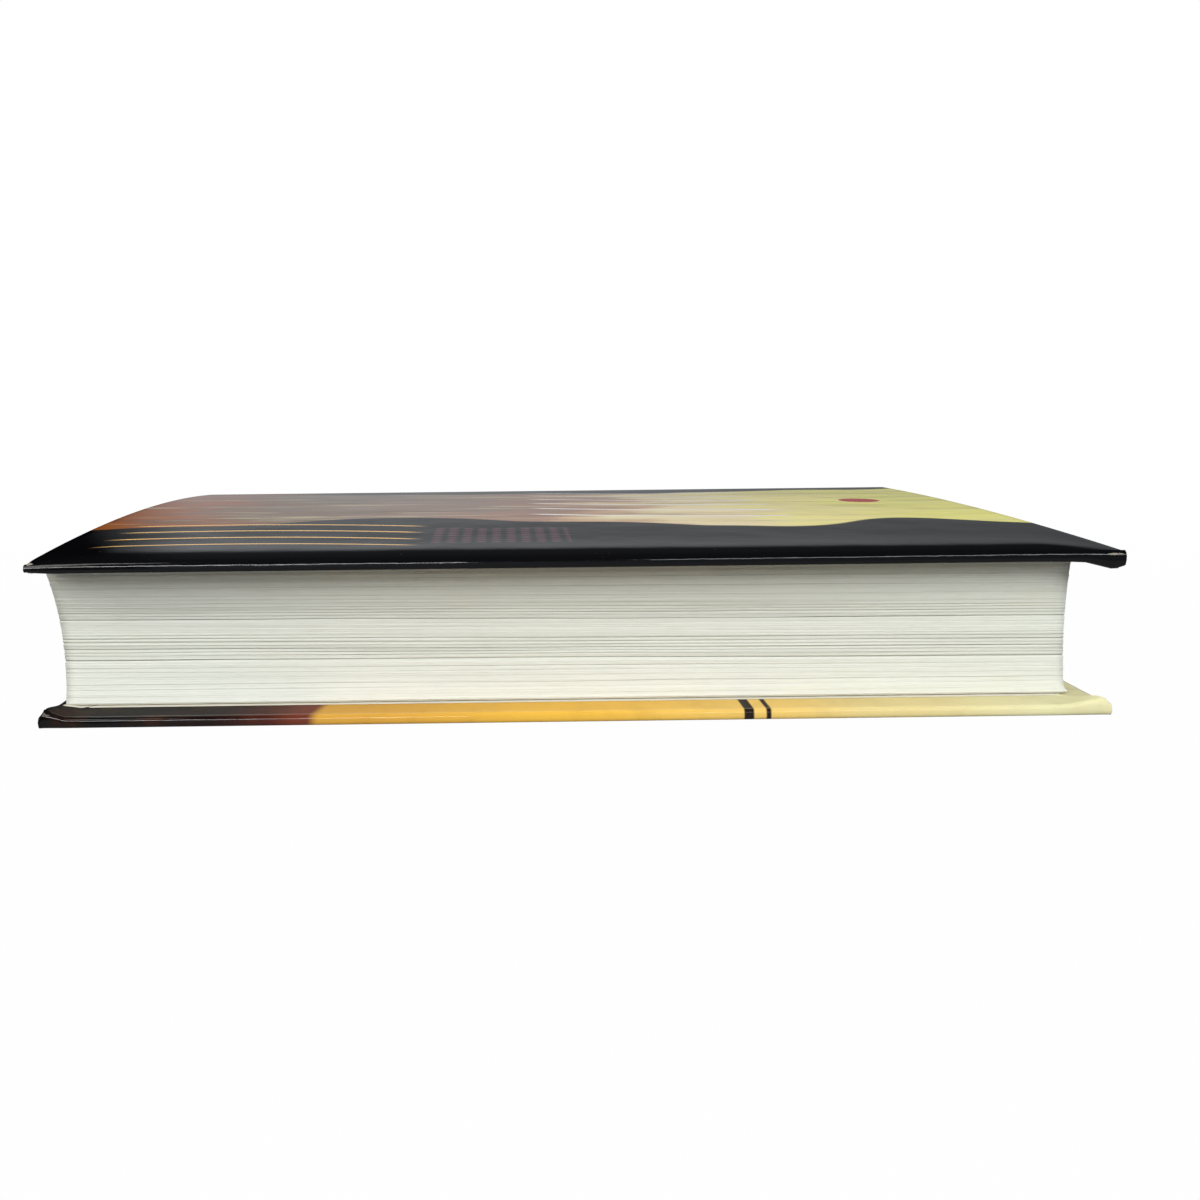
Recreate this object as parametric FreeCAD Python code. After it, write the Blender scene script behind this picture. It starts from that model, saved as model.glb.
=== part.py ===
import FreeCAD, Part
import math
import os
from FreeCAD import Vector

# A case-bound (hardback) book lying on its back cover, in millimetres.
# The origin is on the table under the middle of the book, +X runs along the spine
# from tail to head, +Y from the fore edge to the spine, +Z is up. Sections are drawn
# with u, the distance from the covers' fore edge, in place of Y. The front cover is
# slightly bowed and the pages under it follow, more at the tail than at the head.

# covers
board_thickness = 2.0
cover_paper = 0.15
glue_film = 0.03
edge_rounding = 0.9
end_chamfer = 0.5
turn_in = 15.0
fore_edge_rise = 0.2
bow_at_tail = 2.8
bow_at_head = 1.1

# endpapers
pastedown_thickness = 0.15
pastedown_creep = 0.6
flyleaf_thickness = 0.15
cover_clearance = 0.3

# pages
pages_thickness = 27.8
page_length = 208.3
page_width = 147.6
fore_edge_square = 8.0
tail_square = 2.6
head_square = 7.1
hollow_at_tail = 3.8
hollow_at_head = 1.6
spine_round = 3.2
tail_top_flare = 1.3
tail_bottom_flare = -0.4
head_top_flare = 0.2
head_bottom_flare = 0.7

# spine
mull_thickness = 0.3
mull_end_distance = 12.0
mull_edge_distance = 0.3
lining_thickness = 0.2
lining_end_distance = 2.0
lining_edge_distance = 1.2
hollow_gap = 0.5
inlay_thickness = 0.8
inlay_above_groove = 0.9

# head and tail bands
bead_radius = 0.6
band_tape_length = 9.0
band_edge_distance = 1.0

# joints: how far the boards and the hinge lines stand before the pages' spine edge
board_setback = 10.6
hinge_setback = 2.1
hinge_lift = 1.1
swing_clearance = 0.25
joint_gap = 0.2

# values that follow from the sizes above
cover_thickness = board_thickness + 2 * cover_paper
pastedown_depth = cover_thickness + glue_film
flyleaf_depth = pastedown_depth + pastedown_thickness + cover_clearance
page_depth = flyleaf_depth + flyleaf_thickness + glue_film
book_thickness = pages_thickness + 2 * page_depth
middle_z = book_thickness / 2
half_pages = pages_thickness / 2
cover_length = tail_square + page_length + head_square
half_length = cover_length / 2
spine_corner_u = fore_edge_square + page_width
cover_width = spine_corner_u - board_setback
spine_radius = (half_pages**2 + spine_round**2) / (2 * spine_round)
spine_centre_u = spine_corner_u + spine_round - spine_radius
mull_inner = spine_radius + glue_film
mull_outer = mull_inner + mull_thickness
lining_inner = mull_outer + glue_film
lining_outer = lining_inner + lining_thickness
inlay_inner = lining_outer + hollow_gap
inlay_outer = inlay_inner + inlay_thickness
spine_outer = inlay_outer + cover_paper
groove_offset = middle_z - cover_thickness
inlay_half_height = groove_offset + inlay_above_groove
overall_width = spine_centre_u + spine_outer
hinge_u = spine_corner_u - hinge_setback
hinge_offset = half_pages + hinge_lift
swing_radius = spine_centre_u + math.sqrt(spine_outer**2 - hinge_offset**2) - hinge_u + swing_clearance
flange_end_u = hinge_u - swing_radius
tail_x = tail_square - half_length
head_x = tail_x + page_length
spare = 5.0


def at(x, u, z):
    # a point of the section at x, with the middle of the book's width at Y = 0
    return Vector(x, u - overall_width / 2, z)


def box(x0, x1, u0, u1, z0, z1):
    return Part.makeBox(x1 - x0, u1 - u0, z1 - z0, at(x0, u0, z0))


def mirrored(shape):
    # the same shape at the other side of the book's middle plane
    return shape.mirror(Vector(0, 0, middle_z), Vector(0, 0, 1))


def one_solid(shape):
    return shape.removeSplitter().Solids[0]


def from_tail_to_head(tail_value, head_value, x):
    # a value that changes evenly along the book
    return tail_value + (head_value - tail_value) * (x + half_length) / cover_length


def front_height(x, u):
    # height of the front cover's outer face: level in the joint, bowed over the board
    share = min(u / cover_width, 1.0)
    bow = from_tail_to_head(bow_at_tail, bow_at_head, x)
    return book_thickness + fore_edge_rise * (1 - share) + 4 * bow * share * (1 - share)


def back_height(x, u):
    # the back cover is flat; it is built as a front cover and mirrored down
    return book_thickness


def across(height, x, u0, u1, depth):
    # an edge over the cover from u0 to u1, a parabola with its pole where the end tangents meet
    first, last = height(x, u0) - depth, height(x, u1) - depth
    middle = (u0 + u1) / 2
    pole = 2 * (height(x, middle) - depth) - (first + last) / 2
    curve = Part.BezierCurve()
    curve.setPoles([at(x, u0, first), at(x, middle, pole), at(x, u1, last)])
    return curve.toShape()


def arc(points):
    return Part.Arc(*points).toShape()


def rounded_section(height, x, inset):
    # outline of a cover at x, its flat faces moved in by the inset, its two long edges rounded
    radius = edge_rounding - inset
    slant = radius * (1 - math.sqrt(0.5))
    u0, u1 = inset, cover_width - inset
    top, bottom = inset, cover_thickness - inset

    def corner(u, depth, side):
        # three points of a quarter round whose outer corner is at u and depth
        centre_u = u + side[0] * radius
        level = height(x, centre_u)
        near_face = at(x, centre_u, level - depth)
        between = at(x, u + side[0] * slant, level - depth - side[1] * slant)
        near_edge = at(x, u, level - depth - side[1] * radius)
        return [near_face, between, near_edge]

    fore_top, fore_bottom = corner(u0, top, (1, 1)), corner(u0, bottom, (1, -1))
    hinge_top, hinge_bottom = corner(u1, top, (-1, 1)), corner(u1, bottom, (-1, -1))
    return Part.Wire([
        across(height, x, u0 + radius, u1 - radius, top),
        arc(hinge_top),
        Part.makeLine(hinge_top[2], hinge_bottom[2]),
        arc(hinge_bottom[::-1]),
        across(height, x, u0 + radius, u1 - radius, bottom),
        arc(fore_bottom),
        Part.makeLine(fore_bottom[2], fore_top[2]),
        arc(fore_top[::-1]),
    ])


def flat_slab(inset):
    # the back cover's slab: a box with rounded long edges and chamfered ends
    reach = half_length - inset
    slab = box(-reach, reach, inset, cover_width - inset, book_thickness - cover_thickness + inset,
               book_thickness - inset)
    slab = slab.makeFillet(edge_rounding - inset, [e for e in slab.Edges if e.BoundBox.XLength > reach])
    slab = slab.makeChamfer(end_chamfer, [e for e in slab.Edges if e.BoundBox.XLength < end_chamfer])
    return slab.Solids[0]


def rounded_slab(height, inset):
    # a cover-sized slab with rounded long edges and chamfered ends
    if height is back_height:
        return flat_slab(inset)
    reach = half_length - inset
    stations = [
        (-reach, inset + end_chamfer),
        (end_chamfer - reach, inset),
        (reach - end_chamfer, inset),
        (reach, inset + end_chamfer),
    ]
    return Part.makeLoft([rounded_section(height, x, i) for x, i in stations], True, True)


def sheet(height, u0, u1, depth0, depth1, x0, x1):
    # a sheet with square edges between two depths below the cover's outer face
    if height is back_height:
        return box(x0, x1, u0, u1, book_thickness - depth1, book_thickness - depth0)

    def section(x):
        near0, near1 = at(x, u0, height(x, u0) - depth0), at(x, u0, height(x, u0) - depth1)
        far0, far1 = at(x, u1, height(x, u1) - depth0), at(x, u1, height(x, u1) - depth1)
        upper, lower = across(height, x, u0, u1, depth0), across(height, x, u0, u1, depth1)
        return Part.Wire([upper, Part.makeLine(far0, far1), lower, Part.makeLine(near1, near0)])

    return Part.makeLoft([section(x0), section(x1)], True, True)


def sheet_into_joint(height, u0, u1, depth0, depth1, x0, x1):
    # a sheet that follows the board to its hinge edge and runs level beyond it
    over_board = sheet(height, u0, cover_width, depth0, depth1, x0, x1)
    level = box(x0, x1, cover_width, u1, book_thickness - depth1, book_thickness - depth0)
    return over_board.fuse(level)


def board(height):
    return rounded_slab(height, cover_paper + glue_film)


def cover_wrap(height):
    # the printed sheet round the board, turned in on three sides and running into the joint
    shell = rounded_slab(height, 0.0).cut(rounded_slab(height, cover_paper))
    inner_x = half_length - turn_in
    window = sheet(height, turn_in, cover_width - edge_rounding, cover_thickness / 2,
                   cover_thickness + spare, -inner_x, inner_x)
    flange_x = half_length - end_chamfer
    flange = sheet_into_joint(height, cover_width - edge_rounding, flange_end_u - joint_gap / 2,
                              cover_thickness - cover_paper, cover_thickness, -flange_x, flange_x)
    return one_solid(shell.cut(window).fuse(flange))


def pastedown(height):
    # the endpaper's half on the board, as long as the pages, creeping a little past their fore edge;
    # it fills the window between the turned-in edges
    inner_x = half_length - turn_in
    back = pastedown_depth + pastedown_thickness
    paper = sheet_into_joint(height, fore_edge_square - pastedown_creep, flange_end_u - joint_gap / 2,
                             pastedown_depth, back, tail_x, head_x)
    filling = sheet(height, turn_in, cover_width - edge_rounding, cover_thickness - cover_paper, back,
                    -inner_x, inner_x)
    return one_solid(paper.fuse(filling))


def page_ends(thicker):
    # the block's side view between its tail and head ends, which lean and flare a little
    low, high = page_depth, book_thickness - page_depth
    tail = [Vector(tail_x - tail_bottom_flare, 0, low), Vector(tail_x, 0, middle_z),
            Vector(tail_x - tail_top_flare, 0, high)]
    head = [Vector(head_x + head_top_flare, 0, high), Vector(head_x, 0, middle_z),
            Vector(head_x + head_bottom_flare, 0, low)]
    roof = Vector(0, 0, thicker)
    edges = [
        arc(tail),
        Part.makeLine(tail[2], tail[2] + roof),
        Part.makeLine(tail[2] + roof, head[0] + roof),
        Part.makeLine(head[0] + roof, head[0]),
        arc(head),
        Part.makeLine(head[2], tail[0]),
    ]
    side = Part.Face(Part.Wire(edges))
    return side.translated(Vector(0, -overall_width, 0)).extrude(Vector(0, 2 * overall_width, 0))


def pages():
    # all leaves as one solid: hollow fore edge, rounded spine, bowed top, flat underside
    def section(x):
        top = front_height(x, fore_edge_square) - page_depth
        end = book_thickness - page_depth
        fore_high, fore_low = at(x, fore_edge_square, top), at(x, fore_edge_square, page_depth)
        depth = from_tail_to_head(hollow_at_tail, hollow_at_head, x)
        hollow = at(x, fore_edge_square + depth, middle_z)
        joint_top, back_top = at(x, cover_width, end), at(x, spine_corner_u, end)
        back_low, round_back = at(x, spine_corner_u, page_depth), at(x, spine_corner_u + spine_round, middle_z)
        return Part.Wire([
            across(front_height, x, fore_edge_square, cover_width, page_depth),
            Part.makeLine(joint_top, back_top),
            arc([back_top, round_back, back_low]),
            Part.makeLine(back_low, fore_low),
            arc([fore_low, hollow, fore_high]),
        ])

    whole = Part.makeLoft([section(-half_length), section(half_length)], True, True)
    return one_solid(whole.common(page_ends(spare)))


def front_flyleaf():
    # the endpaper's free half; it lies on the pages and follows their bow
    return one_solid(sheet_into_joint(front_height, fore_edge_square, spine_corner_u, flyleaf_depth,
                                      flyleaf_depth + flyleaf_thickness, tail_x - tail_top_flare,
                                      head_x + head_top_flare))


def back_flyleaf():
    x0, x1 = tail_x - tail_bottom_flare, head_x + head_bottom_flare
    return box(x0, x1, fore_edge_square, spine_corner_u, flyleaf_depth, flyleaf_depth + flyleaf_thickness)


def spine_layer(inner, outer, half_height, x0, x1):
    # part of a tube round the rounded spine, cut level above and below
    def tube(radius):
        return Part.makeCylinder(radius, x1 - x0, at(x0, spine_centre_u, middle_z), Vector(1, 0, 0))

    limits = box(x0, x1, spine_centre_u, spine_centre_u + 2 * outer, middle_z - half_height,
                 middle_z + half_height)
    return tube(outer).cut(tube(inner)).common(limits).Solids[0]


def mull():
    return spine_layer(mull_inner, mull_outer, half_pages - mull_edge_distance,
                       tail_x + mull_end_distance, head_x - mull_end_distance)


def spine_lining():
    return spine_layer(lining_inner, lining_outer, half_pages - lining_edge_distance,
                       tail_x + lining_end_distance, head_x - lining_end_distance)


def end_band(end, inward):
    # a headband: a bead over the leaves' ends and a tape glued down the spine
    half_height = half_pages - band_edge_distance
    bead_x = end - inward * bead_radius
    ring = Part.makeTorus(spine_radius - bead_radius / 2, bead_radius, at(bead_x, spine_centre_u, middle_z),
                          Vector(1, 0, 0))
    limits = box(bead_x - spare, bead_x + spare, spine_centre_u, spine_centre_u + 2 * spine_radius,
                 middle_z - half_height, middle_z + half_height)
    bead = ring.common(limits).cut(page_ends(spare)).Solids[0]
    tape_x = sorted([bead_x, end + inward * band_tape_length])
    tape = spine_layer(mull_inner, mull_outer, half_height, tape_x[0], tape_x[1])
    return one_solid(bead.fuse(tape))


def inlay_space(inset):
    # the room for the card strip in the spine cover, its faces moved in by the inset
    reach = half_length - cover_paper - inset
    return spine_layer(inlay_inner + inset, inlay_outer - inset, inlay_half_height - inset, -reach, reach)


def spine_inlay():
    return inlay_space(glue_film)


def spine_cover():
    # the printed sheet over the inlay, turned in at both ends, with its two strips in the joints
    inner_x = half_length - turn_in
    skin = spine_layer(inlay_inner - cover_paper, spine_outer, inlay_half_height + cover_paper,
                       -half_length, half_length)
    window = spine_layer(inlay_inner - spare, inlay_inner, groove_offset, -inner_x, inner_x)
    shell = skin.cut(inlay_space(0.0)).cut(window)
    edge_u = spine_centre_u + math.sqrt(inlay_inner**2 - groove_offset**2)
    level = book_thickness - cover_thickness
    strip = box(-half_length + end_chamfer, half_length - end_chamfer, flange_end_u + joint_gap / 2,
                edge_u, level, level + cover_paper)
    strip = strip.cut(inlay_space(0.0))
    return one_solid(shell.fuse(strip).fuse(mirrored(strip)))


def build():
    return {
        "text_block": pages(),
        "front_flyleaf": front_flyleaf(),
        "back_flyleaf": back_flyleaf(),
        "tail_band": end_band(tail_x, 1),
        "head_band": end_band(head_x, -1),
        "mull": mull(),
        "spine_lining": spine_lining(),
        "spine_inlay": spine_inlay(),
        "spine_cover": spine_cover(),
        "front_board": board(front_height),
        "front_cover_wrap": cover_wrap(front_height),
        "front_pastedown": pastedown(front_height),
        "back_board": mirrored(board(back_height)),
        "back_cover_wrap": mirrored(cover_wrap(back_height)),
        "back_pastedown": mirrored(pastedown(back_height)),
    }


os.makedirs("parts", exist_ok=True)
for name, shape in build().items():
    shape.exportStep("parts/" + name + ".step")
    print(name, shape.ShapeType, shape.isValid(), round(shape.Volume, 1))
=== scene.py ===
import math
import random

import bmesh
import bpy
from mathutils import Matrix, Vector


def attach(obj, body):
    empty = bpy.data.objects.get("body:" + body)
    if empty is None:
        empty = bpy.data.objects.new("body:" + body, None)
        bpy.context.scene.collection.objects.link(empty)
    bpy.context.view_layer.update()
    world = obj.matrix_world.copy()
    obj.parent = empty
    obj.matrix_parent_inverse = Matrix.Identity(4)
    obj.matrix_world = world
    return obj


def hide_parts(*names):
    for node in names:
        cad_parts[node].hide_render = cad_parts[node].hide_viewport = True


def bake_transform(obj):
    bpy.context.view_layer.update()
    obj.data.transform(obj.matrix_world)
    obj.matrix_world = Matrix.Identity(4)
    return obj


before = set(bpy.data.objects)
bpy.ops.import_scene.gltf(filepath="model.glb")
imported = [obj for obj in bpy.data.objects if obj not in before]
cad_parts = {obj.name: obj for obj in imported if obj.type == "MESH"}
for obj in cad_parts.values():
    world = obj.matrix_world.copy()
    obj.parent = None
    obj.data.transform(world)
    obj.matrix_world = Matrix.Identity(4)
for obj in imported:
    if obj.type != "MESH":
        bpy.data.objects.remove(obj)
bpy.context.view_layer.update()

# Sizes are in millimetres. A point of the book is x along it from its middle, u across it from
# the covers' fore edge towards the spine, and z above the table.
book = {
    "length": 218.0,
    "panelWidth": 145.0,
    "overallWidth": 160.81,
    "thickness": 33.72,
    "cover": 2.3,  # board with its paper
    "paper": 0.15,
    "foreEdgeRise": 0.2,
    "bow": (2.785, 1.1),  # of the front cover, at the tail and at the head
}


def placed(x, u, z):
    # a point of the book in metres in the row frame
    return Vector((x, u - book["overallWidth"] / 2, z)) / 1000


def between(a, b, share):
    return a + (b - a) * share


def eased(value, low, high):
    share = min(max((value - low) / (high - low), 0.0), 1.0)
    return share * share * (3 - 2 * share)


def frontHeight(x, u):
    # the outer face of the front cover, which is bowed
    share = min(max(u / book["panelWidth"], 0.0), 1.0)
    bow = between(*book["bow"], x / book["length"] + 0.5)
    return book["thickness"] + book["foreEdgeRise"] * (1 - share) + 4 * bow * share * (1 - share)


def colour(code):
    # an sRGB hex colour as linear values
    levels = [int(code[i:i + 2], 16) / 255 for i in (1, 3, 5)]
    return [v / 12.92 if v <= 0.04045 else ((v + 0.055) / 1.055) ** 2.4 for v in levels] + [1.0]


def newMaterial(name):
    material = bpy.data.materials.new(name)
    material.use_nodes = True
    material.node_tree.nodes.clear()
    return material, material.node_tree


def add(tree, kind, inputs=None, **settings):
    # a node with its settings; an input is a value, a hex colour or another node's output
    made = tree.nodes.new("ShaderNode" + kind)
    for key, value in settings.items():
        setattr(made, key, value)
    for key, value in (inputs or {}).items():
        if isinstance(value, bpy.types.NodeSocket):
            tree.links.new(value, made.inputs[key])
        else:
            made.inputs[key].default_value = colour(value) if isinstance(value, str) else value
    return made.outputs


# Patterns that the materials share; their sizes are in millimetres


def sheetPoint(tree):
    # the place on the flat sheet, from its UV map, which is in metres
    flat = add(tree, "UVMap", uv_map="sheet")[0]
    vector = add(tree, "VectorMath", {0: flat, "Scale": 1000.0}, operation="SCALE")[0]
    parts = add(tree, "SeparateXYZ", {0: vector})
    return vector, parts[0], parts[1]


def objectPoint(tree):
    place = add(tree, "TexCoord")["Object"]
    vector = add(tree, "VectorMath", {0: place, "Scale": 1000.0}, operation="SCALE")[0]
    parts = add(tree, "SeparateXYZ", {0: vector})
    return vector, parts[0], parts[1], parts[2]


def stripe(tree, value, low, high, soft):
    # 1 between low and high, with soft edges
    up = add(tree, "MapRange", {0: value, 1: low - soft / 2, 2: low + soft / 2},
             interpolation_type="SMOOTHSTEP")[0]
    down = add(tree, "MapRange", {0: value, 1: high - soft / 2, 2: high + soft / 2},
               interpolation_type="SMOOTHSTEP")[0]
    return add(tree, "Math", {0: up, 1: down}, operation="SUBTRACT")[0]


def lumps(tree, vector, sizes, low=0.0, high=1.0, detail=3.0, shift=0.0):
    # soft uneven patches of the given sizes, 0 below low and 1 above high
    mapping = add(tree, "Mapping", {"Vector": vector, "Scale": [1 / s for s in sizes],
                                    "Location": (shift, shift, 0)})
    noise = add(tree, "TexNoise", {"Vector": mapping[0], "Scale": 1.0, "Detail": detail, "Roughness": 0.6})[0]
    return add(tree, "MapRange", {0: noise, 1: low, 2: high}, interpolation_type="SMOOTHSTEP")[0]


def painted(tree, below, cover, strength, tint):
    # tint over below where cover is 1
    factor = add(tree, "Math", {0: cover, 1: strength}, operation="MULTIPLY")[0]
    return add(tree, "Mix", {0: factor, 6: below, 7: tint}, data_type="RGBA")[2]


def blended(tree, value, stops):
    # colours that follow each other as value grows; a stop is where, how softly, and which colour
    tint = stops[0]
    for where, soft, code in stops[1:]:
        past = add(tree, "MapRange", {0: value, 1: where - soft / 2, 2: where + soft / 2},
                   interpolation_type="SMOOTHSTEP")[0]
        tint = add(tree, "Mix", {0: past, 6: tint, 7: code}, data_type="RGBA")[2]
    return tint


def bumped(tree, layers):
    # one bump over another; a layer is its height pattern and its depth
    normal = None
    for height, depth in layers:
        inputs = {"Height": height, "Strength": 1.0, "Distance": depth / 1000}
        if normal:
            inputs["Normal"] = normal
        normal = add(tree, "Bump", inputs)[0]
    return normal


def finishMaterial(tree, inputs):
    shader = add(tree, "BsdfPrincipled", inputs)[0]
    add(tree, "OutputMaterial", {"Surface": shader})


# Printed paper under a clear film of gloss laminate: deep colour, sharp highlights on the
# rounded edges, and a faint orange-peel from the glue under the film

laminate = {
    "roughness": (0.06, 0.14),
    "specular": 0.5,
    "peelSize": 2.6,
    "peelDepth": 0.012,
    "waveSize": 34.0,
    "waveDepth": 0.25,
    "cockleSize": (5.0, 1.6, 5.0),
    "cockleDepth": 0.02,
    "turnInRoughness": 0.75,  # inside the cover the film is dulled by handling
    "turnInFrom": 2.6,  # how far past the cover's edges, on the sheet
    "bare": "#a9a7a0",  # the paper's own colour at a rubbed spot
    "rubbedFront": [(-110.4, -1.3, 0.2), (111.0, -1.8, -0.2), (-110.2, 60.0, 0.5), (110.2, 96.0, 0.5)],
    "rubbedBack": [(-110.4, -1.4, 0.2), (110.2, 40.0, 0.5)],
}


def rubbed(tree, vector, spots):
    # spots at the corners and edges where the print is rubbed off
    ragged = lumps(tree, vector, (0.7, 0.7, 0.7), detail=4.0)
    mask = 0.0
    for x, u, radius in spots:
        away = add(tree, "VectorMath", {0: vector, 1: (x, u, 0.0)}, operation="DISTANCE")["Value"]
        reach = add(tree, "Math", {0: ragged, 1: 2.4, 2: away}, operation="MULTIPLY_ADD")[0]
        spot = stripe(tree, reach, -50.0, radius + 1.2, 0.8)
        mask = add(tree, "Math", {0: spot, 1: mask}, operation="MAXIMUM")[0]
    return mask


def laminatedPaper(name, design, spots):
    material, tree = newMaterial(name)
    vector, along, across = sheetPoint(tree)
    bare = rubbed(tree, vector, spots)
    tint = painted(tree, design(tree, vector, along, across), bare, 0.8, laminate["bare"])
    dust = lumps(tree, vector, (0.5, 0.5, 0.5), 0.79, 0.82, 1.0, 4.0)
    tint = painted(tree, tint, dust, 0.5, "#c9c9c6")
    handled = lumps(tree, vector, (22.0, 22.0, 22.0), 0.3, 0.8)
    low, high = laminate["roughness"]
    gloss = add(tree, "MapRange", {0: handled, 3: low, 4: high})[0]
    gloss = add(tree, "Math", {0: bare, 1: 0.6, 2: gloss}, operation="MULTIPLY_ADD", use_clamp=True)[0]
    past = laminate["turnInFrom"]
    outside = stripe(tree, across, -past, 900.0, 0.6)
    outside = add(tree, "Math", {0: outside, 1: stripe(tree, along, -109 - past, 109 + past, 0.6)},
                  operation="MULTIPLY")[0]
    gloss = add(tree, "Mix", {0: outside, 2: laminate["turnInRoughness"], 3: gloss})[0]
    peel = lumps(tree, vector, (laminate["peelSize"],) * 3, detail=1.0)
    wave = lumps(tree, vector, (laminate["waveSize"],) * 3, detail=2.0)
    cockle = lumps(tree, vector, laminate["cockleSize"], detail=2.0)
    layers = [(wave, laminate["waveDepth"]), (cockle, laminate["cockleDepth"]), (peel, laminate["peelDepth"])]
    finishMaterial(tree, {"Base Color": tint, "Roughness": gloss, "Specular IOR Level": laminate["specular"],
                          "Normal": bumped(tree, layers)})
    return material


frontPrint = {
    "black": "#08080a",
    "nearEdge": 42.0,  # where the colour field starts and ends across the cover
    "farEdge": 131.0,
    "field": ["#95501a", (-92, 12, "#7e5439"), (-78, 20, "#7d6754"), (-50, 26, "#977e70"),
              (-18, 28, "#a17d6d"), (6, 20, "#c8a282"), (22, 18, "#ecd8ac"), (48, 24, "#f3e694"),
              (80, 24, "#f3ec85")],
    "fold": "#5c4c42",
    "glow": "#f3eeb9",
    "gold": "#f0bd73",
    "cream": "#f2efe6",
    "dusk": "#54343b",
    "red": "#b7281e",
    "goldArcs": {"centre": (-70.0, -150.0), "first": 166.0, "gap": 9.0, "count": 4, "width": 1.1,
                 "ends": (-98.0, -34.0)},
    "creamArcs": {"centre": (40.0, 270.0), "first": 150.0, "gap": 13.0, "count": 6, "width": 1.7,
                  "ends": (-6.0, 56.0)},
    "dots": {"pitch": 3.2, "size": 1.1, "along": (-30.0, 0.0), "across": (14.0, 36.0)},
    "disc": {"centre": (84.0, 92.0), "radius": 5.5},
}


def arcs(tree, vector, along, settings):
    # a run of thin arcs about one centre
    centre = (*settings["centre"], 0.0)
    away = add(tree, "VectorMath", {0: vector, 1: centre}, operation="DISTANCE")["Value"]
    last = settings["first"] + settings["gap"] * (settings["count"] - 0.5)
    near = stripe(tree, away, settings["first"] - 1, last, 0.2)
    past = add(tree, "Math", {0: away, 1: settings["first"]}, operation="SUBTRACT")[0]
    cell = add(tree, "Math", {0: past, 1: settings["gap"] / 2}, operation="PINGPONG")[0]
    stroke = stripe(tree, cell, -1.0, settings["width"] / 2, 0.25)
    ends = stripe(tree, along, *settings["ends"], 6.0)
    stroke = add(tree, "Math", {0: stroke, 1: near}, operation="MULTIPLY")[0]
    return add(tree, "Math", {0: stroke, 1: ends}, operation="MULTIPLY")[0]


def dots(tree, along, across, settings):
    # rows of small round dots in a rectangle
    half = settings["pitch"] / 2
    sides = [add(tree, "Math", {0: v, 1: half}, operation="PINGPONG")[0] for v in (along, across)]
    spot = add(tree, "CombineXYZ", {0: sides[0], 1: sides[1]})[0]
    away = add(tree, "VectorMath", {0: spot}, operation="LENGTH")["Value"]
    dot = stripe(tree, away, -1.0, settings["size"], 0.3)
    for value, limits in ((along, settings["along"]), (across, settings["across"])):
        dot = add(tree, "Math", {0: dot, 1: stripe(tree, value, *limits, 0.3)}, operation="MULTIPLY")[0]
    return dot


def frontDesign(tree, vector, along, across):
    # a drifting field of browns and golds on black, with fine arcs, dots and one small disc
    drift = lumps(tree, vector, (70.0, 70.0, 70.0), 0.2, 0.8, 1.0, 3.0)
    edge = add(tree, "Math", {0: drift, 1: 26.0, 2: across}, operation="MULTIPLY_ADD")[0]
    field = stripe(tree, edge, frontPrint["nearEdge"] + 13, frontPrint["farEdge"] + 13, 1.4)
    stray = lumps(tree, vector, (36.0, 20.0, 36.0), 0.2, 0.8, 3.0, 7.0)
    level = add(tree, "Math", {0: stray, 1: 40.0, 2: along}, operation="MULTIPLY_ADD")[0]
    level = add(tree, "Math", {0: level, 1: 20.0}, operation="SUBTRACT")[0]
    tint = blended(tree, level, frontPrint["field"])
    folds = lumps(tree, vector, (60.0, 6.0, 60.0), 0.5, 0.75, 4.0, 3.0)
    tint = painted(tree, tint, folds, 0.65, frontPrint["fold"])
    glow = lumps(tree, vector, (44.0, 4.5, 44.0), 0.52, 0.75, 4.0, 9.0)
    tint = painted(tree, tint, glow, 0.6, frontPrint["glow"])
    tint = painted(tree, frontPrint["black"], field, 1.0, tint)
    tint = painted(tree, tint, arcs(tree, vector, along, frontPrint["goldArcs"]), 1.0, frontPrint["gold"])
    tint = painted(tree, tint, arcs(tree, vector, along, frontPrint["creamArcs"]), 1.0, frontPrint["cream"])
    tint = painted(tree, tint, dots(tree, along, across, frontPrint["dots"]), 1.0, frontPrint["dusk"])
    centre = (*frontPrint["disc"]["centre"], 0.0)
    away = add(tree, "VectorMath", {0: vector, 1: centre}, operation="DISTANCE")["Value"]
    disc = stripe(tree, away, -1.0, frontPrint["disc"]["radius"], 0.4)
    return painted(tree, tint, disc, 1.0, frontPrint["red"])


backPrint = {
    "run": ["#07080a", (-84, 22, "#190c0a"), (-66, 14, "#4a1f15"), (-58, 8, "#6b3222"),
            (-51.5, 3.0, "#cf9a3c"), (-22, 50, "#e6b344"), (22, 44, "#e5bd62"), (54, 36, "#dcc98a"),
            (84, 30, "#ddd6a6")],
    "lean": 0.12,
    "darkFrom": 124.0,
    "bars": [(34.0, 36.0), (38.5, 39.5)],
    "barReach": 52.0,
    "bar": "#24150f",
}


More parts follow.
